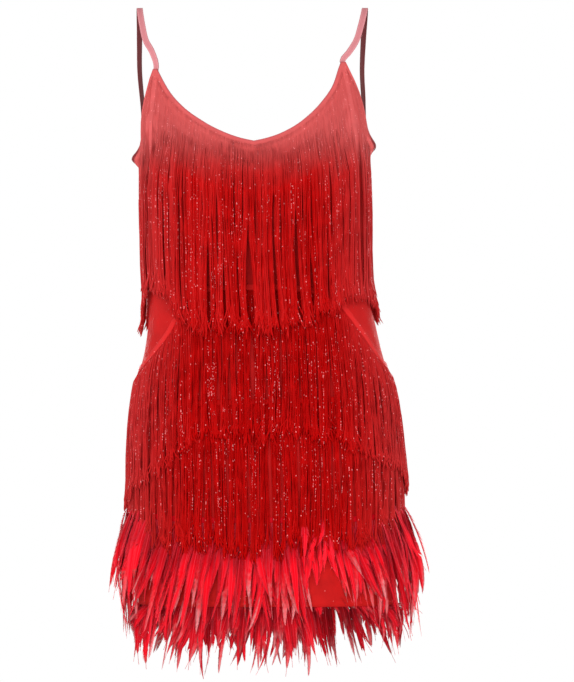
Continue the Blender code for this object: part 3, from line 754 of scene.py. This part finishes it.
def makeFringe(node, route, ends, lift, strands, inset=0, seed=1, flush=False, extra=(),
               tapeLightTone=0.5, ragged=5.0):
    plan = fringePlan
    rng = np.random.default_rng(seed)
    place, across = tapeGuide(route)
    gap, rise = plan["flushTape"] if flush else plan["tape"]
    tapePoints, tapeFaces = makeTape(place, across, inset, gap, rise=rise)
    roots, rootArc = spreadRoots(route, inset + (0.8 if flush else 6.6), strands, rng)
    for more, share in extra:
        newRoots, newArc = spreadRoots(more, 4, int(strands * share), rng)
        roots = np.concatenate([roots, newRoots])
        rootArc = np.concatenate([rootArc, newArc + rootArc.max() + 6])
    strands = len(roots)
    layer = rng.choice(plan["layers"], strands, p=plan["layerShares"])
    angle = angleOf(roots)
    clumps = int(rootArc.max() / plan["clumpWidth"]) + 12
    edges = np.cumsum(rng.uniform(*plan["clumpSizes"], clumps) * plan["clumpWidth"])
    clump = np.searchsorted(edges, rootArc)
    middles = np.concatenate([[edges[0] / 2], (edges[1:] + edges[:-1]) / 2])

    def perClump(draw, first, second):  # the strands of a clump share one number
        return draw(first, second, clumps + 1)[clump]

    pull = perClump(rng.uniform, *plan["pull"]) * rng.uniform(0.5, 1.1, strands)
    drift = perClump(rng.normal, 0, plan["drift"][0]) + rng.normal(0, plan["drift"][1], strands)
    sway = perClump(rng.normal, 0, plan["clumpSway"])
    swayTurn = perClump(rng.uniform, 0, 6.3)
    clumpDepth = perClump(rng.uniform, 0, plan["clumpDepth"])
    clumpEnd = perClump(rng.normal, 0, ragged)
    clumpTone = perClump(rng.uniform, 0, 1)
    end = lineAt(ends, angle) + clumpEnd + rng.normal(0, 0.5 + 0.6 * ragged, strands)
    longer = rng.random(strands) < plan["longShare"]
    end = end - longer * rng.uniform(*plan["longer"], strands)

    leave = roots[:, 2] - 1
    rootOff = 0.9 + layer * 0.25
    if flush:
        leave = np.minimum(lineAt("litCoral", angle) + 8 + perClump(rng.normal, 0, 6)
                           + rng.normal(0, 4, strands), leave)
        rootOff = plan["sunk"] + layer * 0.08
    roots = seated(roots, rootOff)
    path = hangingPaths(roots, end, np.array(lifts[lift]), layer, leave, rootOff)
    shares = np.array(plan["shares"])
    step = shares * plan["steps"]
    lowStep = np.minimum(step.astype(int), plan["steps"] - 1)
    part = (step - lowStep)[:, None, None]
    rings = path[lowStep] * (1 - part) + path[lowStep + 1] * part
    _, outward = offFigure(rings)
    beside = besides(outward)
    grow = shares[:, None]
    toClump = middles[np.minimum(clump, len(middles) - 1)] - rootArc
    phase = rng.uniform(0, 6.3, strands)
    wave = np.sin(grow * rng.uniform(*plan["waveTurns"], strands) + phase)
    wave = plan["wave"] * wave * ramp(grow * 4)
    wave = wave + sway * np.sin(grow * 4.6 + swayTurn) * ramp(grow * 2)
    sideways = toClump * pull * ramp(grow * 1.6) + drift * grow**1.4 + wave
    curl = rng.normal(0, 1, strands) * (rng.random(strands) < plan["curlShare"])
    sideways = sideways + curl * plan["curl"] * np.clip((grow - 0.86) / 0.14, 0, 1) ** 2
    depth = (clumpDepth * ramp(grow * 2)
             + 0.4 * np.sin(grow * rng.uniform(4, 9, strands) + phase * 1.7) * ramp(grow * 4)
             + np.abs(curl) * plan["curlOut"] * np.clip((grow - 0.9) / 0.1, 0, 1))
    rings = stretched(rings + beside * sideways[..., None] + outward * depth[..., None])

    thin = plan["radius"] * rng.uniform(*plan["radii"], strands)
    radius = thin * np.interp(shares, plan["knotAt"], plan["knotRadius"])[:, None]
    if flush:
        radius *= 0.45 + 0.55 * ramp((leave[None, :] - rings[..., 2] + 6) / 34)
    turn = phase[None, :] + grow * rng.uniform(2, 5, strands)
    spins = [turn + corner * 2 * math.pi / 3 for corner in range(3)]
    points = np.stack([rings + beside * (radius * np.cos(spin))[..., None]
                       + outward * (radius * np.sin(spin))[..., None] for spin in spins], axis=2)
    points = points.transpose(1, 0, 2, 3)
    ringCount = len(shares)
    first = len(tapePoints)
    starts = (np.arange(strands) * ringCount * 3)[:, None, None] + first
    faces = (gridQuads(ringCount, 3, closed=True) + starts).reshape(-1, 4)
    last = ringCount * 3 - 1
    tips = np.array([[0, 1, 2], [last, last - 1, last - 2]])
    tips = (tips + starts).reshape(-1, 3)
    # tone differs at random by clump and strand; outer layers are a little lighter, painted shade on
    # the inner layers
    tone = np.clip(0.3 * clumpTone + 0.75 * rng.random(strands) ** 2 + 0.06 * layer, 0, 1)
    tone = tone * (1 if flush else 0.6)
    chained = (rng.random(strands) < plan["chainShare"]) * np.clip(layer + 0.4, 0, 1)
    bright = rng.uniform(0.05, 0.95, strands)
    glitter = chained[:, None] * ramp(1.3 - np.abs(shares[None, :] - bright[:, None]) / 0.28)
    length = (roots[:, 2] - end) * mm
    values = {
        # the tape tone is painted light: a highlight on the hip tapes, shade on the hidden lower tapes
        "tone": np.concatenate([np.full(first, tapeLightTone), np.repeat(tone, ringCount * 3)]),
        "glitter": np.concatenate([np.zeros(first), np.repeat(glitter.ravel(), 3)]),
        "paintedTopLight": np.concatenate([paintedTopLightShare(tapePoints), paintedTopLightShare(points).ravel()]),
        "side": np.concatenate([sideLightShare(tapePoints), sideLightShare(points).ravel()]),
    }
    u = np.tile(np.array([0, 1, 2]) * 0.0015, strands * ringCount)
    v = (np.repeat(shares, 3)[None, :] * length[:, None]).ravel()
    uv = np.concatenate([tapePoints[:, [0, 2]] * mm, np.stack([u, v], -1)])
    piece = makePiece(f"{node}_yarn", np.concatenate([tapePoints, points.reshape(-1, 3)]),
                      tapeFaces + [faces, tips], fringeMaterial, values, uv)
    rides(piece, "fringe_yarn", node)


# How far towards the sides a point lies, for the painted side light
def sideLightShare(points):
    halfWidth, _, _, shift = sectionAt(points[..., 2])
    return np.clip((np.abs(points[..., 0] - shift) / halfWidth - 0.55) / 0.45, 0, 1) ** 1.5


# Each strand's way down: on the cloth until it leaves it, then plumb and a little off the cloth
def hangingPaths(roots, ends, liftRows, layer, leave, rootOff):
    plan = fringePlan
    step = (roots[:, 2] - ends) / plan["steps"]
    path = [roots]
    for _ in range(plan["steps"]):
        place = path[-1].copy()
        lower = place[:, 2] - step
        place[:, 0] += plan["sway"] * (sectionAt(lower)[3] - sectionAt(place[:, 2])[3])
        place[:, 2] = lower
        start = ramp((leave - lower) / plan["liftRun"])
        lifted = np.interp(-lower, -liftRows[:, 0], liftRows[:, 1]) + layer
        needed = rootOff + start * (lifted - rootOff)
        off, outward = offFigure(place)
        pull = np.minimum(np.where(start > 0, plan["cling"], 1) * step, np.maximum(off - needed, 0))
        place += outward * (np.maximum(needed - off, 0) - pull)[:, None]
        path.append(place)
    return np.array(path)


makeFringe("fringe_neckline", neckRoute(), "upperEnds", "upper", 1350, inset=5, seed=21,
           flush=True, extra=[(armRoute(-1), 0.06), (armRoute(1), 0.06)])
makeFringe("fringe_sides_and_back", sideAndBackRoute(), "upperEnds", "upper", 1450, inset=5,
           seed=22, flush=True)
for which, seed in (("front", 31), ("back", 41)):
    makeFringe(f"fringe_middle_{which}", halfRoute("hipTape", which), "hipEnds", "hip", 1250,
               # the hip tapes are painted lighter as a highlight, and the lower tapes darker as painted
               # shade under the fringe
               seed=seed, tapeLightTone=1.3)
    makeFringe(f"fringe_lower_{which}", halfRoute("lowerTape", which), "lowerEnds", "lower", 1150,
               seed=seed + 1, tapeLightTone=0.3, ragged=8.5)
print("fringe made")

# Feathers: soft vanes of separate barbs on a bent quill, in overlapping rows under a tape

featherPlan = {
    "quillPoints": 12, "barbs": 52, "roll": 0.5, "quillRadius": (0.6, 0.15),
    "rows": {
        "upper": {"tape": "featherTape", "ends": "featherEnds", "reach": "featherReach",
                  "close": "lowerEnds", "out": 0.5, "count": 180, "halfWidth": (7.5, 13.0),
                  "endSpread": (-36, 14), "lean": 30.0, "notch": 44, "paleTips": 0.85, "tones": (0, 1)},
        "hem": {"tape": "hemTape", "ends": "hemEnds", "reach": "hemReach", "close": None,
                "out": -3.9, "count": 150, "halfWidth": (6.5, 11.0), "endSpread": (-6, 50),
                "lean": 20.0, "notch": 50, "paleTips": 1.0, "tones": (-0.6, 1.0)},
    },
    "notchAngle": 44, "notchWidth": 14, "sideLift": 13, "shortShare": 0.45,
    "longDrop": 130, "bow": 9, "tipBow": 11, "turnBack": 0.5, "leftTurn": 0.36, "rightTurn": 0.24,
    "barbRun": (0.08, 0.985), "vaneEnd": (0.84, 1.02), "widest": (0.26, 0.46), "tuftChance": 0.13,
    "rootSlant": 0.92, "tipSlant": 0.32, "cup": (0.05, 0.16),
    "tuft": {"angle": (26, 44), "count": 22, "length": (36, 58), "reach": 11,
             "halfWidth": (5.0, 8.5)},
}


# The middle line of each feather: down under the fringe or the hem, then outwards
def quillPaths(roots, angle, end, close, reach, row, short, lean, rng):
    plan = featherPlan
    t = np.linspace(0, 1, plan["quillPoints"])
    drop = roots[:, 2] - end
    hold = np.clip((roots[:, 2] - close) / drop, 0, 0.75)[:, None]
    flare = np.clip((t - hold) / (1 - hold), 0, 1)
    sideness = ramp((np.abs(np.sin(np.radians(angle))) - 0.8) / 0.2) * (1 - short)
    turn = np.where(angle < 0, plan["leftTurn"], plan["rightTurn"])
    turnBack = (plan["turnBack"] + sideness * turn)[:, None]
    outShare = np.sin(math.pi * turnBack * flare ** (0.85 - 0.27 * sideness[:, None]))
    outShare = outShare + rng.uniform(-0.2, 0.15, len(roots))[:, None] * flare**3
    _, outward = offFigure(roots)
    beside = besides(outward)
    lean = lean * np.sin(np.radians(angle)) * np.where(np.abs(angle) > 90, -1, 1)
    longShare = np.clip(drop / plan["longDrop"], 0.2, 1.1)
    sideways = ((lean + longShare * rng.normal(0, plan["bow"], len(roots)))[:, None] * t**1.3
                + (longShare * rng.normal(0, plan["tipBow"], len(roots)))[:, None] * t**3)
    path = (roots[:, None, :] + outward[:, None, :] * (reach[:, None] * outShare)[..., None]
            + beside[:, None, :] * sideways[..., None])
    path[..., 2] -= drop[:, None] * t
    off, away = offFigure(path)
    onCloth = ramp((path[..., 2] - hemHeight + 8) / 10)
    if row["out"] > 0:
        push = np.maximum(1.0 - off, 0)
    else:
        push = np.minimum(row["out"] + 0.6 - off, 0)
    return path + away * (push * onCloth)[..., None], outward, drop


def makeFeathers(node, which, rowName, seed):
    plan = featherPlan
    row = plan["rows"][rowName]
    rng = np.random.default_rng(seed)
    place, across = tapeGuide(halfRoute(row["tape"], which))
    tapePoints, tapeFaces = makeTape(place, across, 0, row["out"], 0.1)
    low = seated(place + across * 5, row["out"] + 0.8)
    run = runOf(low)
    count = row["count"]
    at = (np.arange(count) + rng.uniform(0, 1, count)) / count * run[-1]
    roots = placesAt(at, run, low)
    roots[:, 2] += rng.uniform(-3, 3, count)
    angle = angleOf(roots)

    notch = np.exp(-(((angle - plan["notchAngle"]) / plan["notchWidth"]) ** 4))
    if rowName == "hem":
        keep = rng.random(count) > 0.5 * notch
        roots, angle, notch = roots[keep], angle[keep], notch[keep]
        count = len(roots)
    under = rng.random(count) ** 1.4
    high, low = row["endSpread"]
    end = (lineAt(row["ends"], angle) + high + row["notch"] * notch
           + (low - high) * rng.random(count) ** 0.9)
    sideness = np.abs(np.sin(np.radians(angle)))
    short = (sideness > 0.86) & (rng.random(count) < plan["shortShare"])
    end = np.where(short, end + (roots[:, 2] - end) * rng.uniform(0.15, 0.5, count), end)
    close = lineAt(row["close"], angle) if row["close"] else np.full(count, hemHeight)
    reach = lineAt(row["reach"], angle) * (0.2 + 0.8 * under) * rng.uniform(0.7, 1.0, count)
    reach = np.where(short, reach * rng.uniform(1.0, 1.5, count), reach)
    lean = np.full(count, row["lean"])
    tone = rng.random(count) * row["tones"][1] + row["tones"][0]
    tipKind = rng.random(count) * row["paleTips"]
    halfWidth = rng.uniform(*row["halfWidth"], count)
    if rowName == "upper":
        raised = plan["sideLift"] * ramp((sideness - 0.9) / 0.08) * (rng.random(count) < 0.6)
        roots[:, 2] += raised
        close = np.where(raised > 1, roots[:, 2], close)
    if rowName == "upper" and which == "front":
        tuft = plan["tuft"]
        start, stop = tuft["angle"]
        chosen = np.flatnonzero((angle > start) & (angle < stop))[:tuft["count"]]
        roots[chosen, 2] += rng.uniform(-40, 8, len(chosen))
        end[chosen] = roots[chosen, 2] - rng.uniform(*tuft["length"], len(chosen))
        close[chosen] = roots[chosen, 2]
        reach[chosen] = tuft["reach"] + rng.uniform(-3, 3, len(chosen))
        lean[chosen] = rng.uniform(-6, 6, len(chosen))
        tone[chosen] = rng.uniform(0.9, 1.5, len(chosen))
        tipKind[chosen] = 0.4
        halfWidth[chosen] = rng.uniform(*tuft["halfWidth"], len(chosen))
    path, outward, drop = quillPaths(roots, angle, end, close, reach, row, short, lean, rng)

    t = np.linspace(0, 1, plan["quillPoints"])
    along = unit(np.gradient(path, axis=1))
    face = unit(outward[:, None, :] - along * (outward[:, None, :] * along).sum(-1)[..., None])
    side = np.cross(along, face)
    roll = (rng.normal(0, plan["roll"], count)[:, None]
            + rng.normal(0, 0.4, count)[:, None] * t)[..., None]
    flat = face * np.cos(roll) + side * np.sin(roll)
    wide = side * np.cos(roll) - face * np.sin(roll)

    barbs = plan["barbs"]
    barbAt = np.linspace(*plan["barbRun"], barbs)
    spot = barbAt * (len(t) - 1)
    before = np.minimum(spot.astype(int), len(t) - 2)
    part = (spot - before)[None, :, None]
    spine, direction, barbFlat, barbWide = [
        numbers[:, before] * (1 - part) + numbers[:, before + 1] * part
        for numbers in (path, along, flat, wide)]
    vaneEnd = rng.uniform(*plan["vaneEnd"], count)[:, None]
    widest = rng.uniform(*plan["widest"], count)[:, None]
    shape = (np.clip(barbAt / widest, 0, 1) ** 0.7
             * np.clip((vaneEnd - barbAt) / (vaneEnd - widest), 0, 1) ** 0.64)
    halfWidth = halfWidth[:, None]
    spacing = drop[:, None] * 0.9 / barbs
    lift = 0.14 * (np.arange(barbs) % 3)
    corners, quads, tris = [], [], []
    start = len(tapePoints)
    for hand in (-1, 1):
        groups = np.cumsum(rng.random((count, barbs)) < plan["tuftChance"], axis=1)
        lag = np.take_along_axis(rng.normal(0, 1, (count, barbs + 1)), groups, axis=1)
        slant = (plan["rootSlant"] + (plan["tipSlant"] - plan["rootSlant"]) * barbAt)
        slant = slant * (1 + 0.13 * lag)
        length = halfWidth * shape * (1 + 0.08 * lag + rng.normal(0, 0.04, (count, barbs)))
        length = np.maximum(length, 0.5) / np.sin(np.maximum(slant, 0.3))
        cup = rng.normal(*plan["cup"], count)[:, None] * length

        def barbPoint(slant, share, out):
            return (spine + direction * (np.cos(slant) * length * share)[..., None]
                    + barbWide * (hand * np.sin(slant) * length * share)[..., None]
                    + barbFlat * out[..., None])

        middle = barbPoint(slant, 0.55, lift - cup * 0.35)
        tip = barbPoint(slant - 0.3, 1, lift - cup + 0.05 * lag * length)
        half = direction * (spacing * 0.62)[..., None]
        one = np.stack([spine - half, spine + half, middle + half, middle - half, tip], axis=2)
        index = start + np.arange(count * barbs * 5).reshape(-1, 5)
        quads.append(index[:, [0, 1, 2, 3]][:, ::hand])
        tris.append(index[:, [3, 2, 4]][:, ::hand])
        corners.append(one.reshape(-1, 3))
        start += count * barbs * 5

    thick = np.interp(t, (0, 1), plan["quillRadius"])[None, :, None]
    rings = np.stack([path + thick * (wide * math.cos(turn) + flat * math.sin(turn))
                      for turn in (0, 2.094, 4.189)], axis=2)
    starts = (np.arange(count) * len(t) * 3)[:, None, None] + start
    quads.append((gridQuads(len(t), 3, closed=True) + starts).reshape(-1, 4))
    vane, quill = barbs * 5, len(t) * 3
    parts = {  # each value on the tape, on the barbs of one hand and on the quills
        "across": (0.2, np.tile([0, 0, 0.55, 0.55, 1.0], count * barbs), np.zeros(count * quill)),
        "along": (0.6, np.tile(np.repeat(barbAt, 5), count), np.tile(np.repeat(t, 3), count)),
        # the tape's low tone is painted shade under the fringe
        "tone": (-0.2, np.repeat(tone, vane), np.repeat(tone, quill)),
        "tipKind": (0.3, np.repeat(tipKind, vane), np.repeat(tipKind, quill)),
        "quill": (0.0, np.zeros(count * vane), np.full(count * quill, 0.8)),
    }
    values = {key: np.concatenate([np.full(len(tapePoints), tape), barb, barb, shaft])
              for key, (tape, barb, shaft) in parts.items()}
    points = np.concatenate([tapePoints] + corners + [rings.reshape(-1, 3)])
    faces = tapeFaces + [np.concatenate(quads), np.concatenate(tris)]
    piece = makePiece(f"{node}_plumes", points, faces, featherMaterial, values)
    rides(piece, "dyed_feather", node)


for which, seed in (("front", 51), ("back", 61)):
    makeFeathers(f"feathers_upper_{which}", which, "upper", seed)
    makeFeathers(f"feathers_hem_{which}", which, "hem", seed + 1)
print("feathers made")

# Studio: a pale floor well below the hem, soft lights and a level camera
studio = {
    "floorHeight": -1.3, "floorSize": 3.4, "cameraDistance": 7.0, "cameraAim": (0.0482, -0.4613),
    "frameHeight": 0.939, "referenceDepth": -0.05, "ambient": 0.55, "lightSize": 2.2,
    "lights": (("key", (-0.9, -4.8, 0.3), 120), ("fill", (1.6, -4.6, -0.8), 62),
               ("backLeft", (-1.8, 4.4, 0.4), 90), ("backRight", (1.8, 4.4, 0.0), 90),
               ("left", (-4.6, 0.3, 0), 80), ("right", (4.6, 0.3, 0), 60)),
}


def makeStudio():
    bpy.ops.mesh.primitive_circle_add(vertices=96, radius=studio["floorSize"] / 2,
                                      fill_type="NGON", location=(0, 0, studio["floorHeight"]))
    floor = bpy.context.object
    floor.name = "paleFloor"
    bpy.ops.object.transform_apply()
    finish, _, shader, _ = startMaterial("paleFloor")
    shader.inputs["Base Color"].default_value = (0.9, 0.9, 0.9, 1)
    shader.inputs["Roughness"].default_value = 0.8
    floor.data.materials.append(finish)
    world = bpy.data.worlds.new("paleStudio")
    world.use_nodes = True
    tree = world.node_tree
    back = tree.nodes["Background"]
    back.inputs["Color"].default_value = (1, 1, 1, 1)
    seen = tree.nodes.new("ShaderNodeLightPath").outputs["Is Camera Ray"]
    ambient = studio["ambient"]
    tree.links.new(scaled(tree, seen, 1 - ambient, ambient), back.inputs["Strength"])
    scene.world = world
    for name, place, power in studio["lights"]:
        bpy.ops.object.light_add(type="AREA", location=place)
        light = bpy.context.object
        light.name = name
        light.data.size = studio["lightSize"]
        light.data.energy = power
        aim = np.array([0.02, 0, -0.45]) - np.array(place)
        pitch = math.atan2(math.hypot(aim[0], aim[1]), -aim[2])
        light.rotation_euler = (pitch, 0, math.atan2(aim[1], aim[0]) - math.pi / 2)
    camera = bpy.data.objects.new("camera", bpy.data.cameras.new("camera"))
    scene.collection.objects.link(camera)
    distance, (x, z) = studio["cameraDistance"], studio["cameraAim"]
    camera.location = (x, studio["referenceDepth"] - distance, z)
    camera.rotation_euler = (math.pi / 2, 0, 0)
    camera.data.lens = camera.data.sensor_width * distance / studio["frameHeight"]
    camera.data.clip_end = 60
    scene.camera = camera
    scene.view_settings.view_transform = "Standard"


makeStudio()
print("studio made")
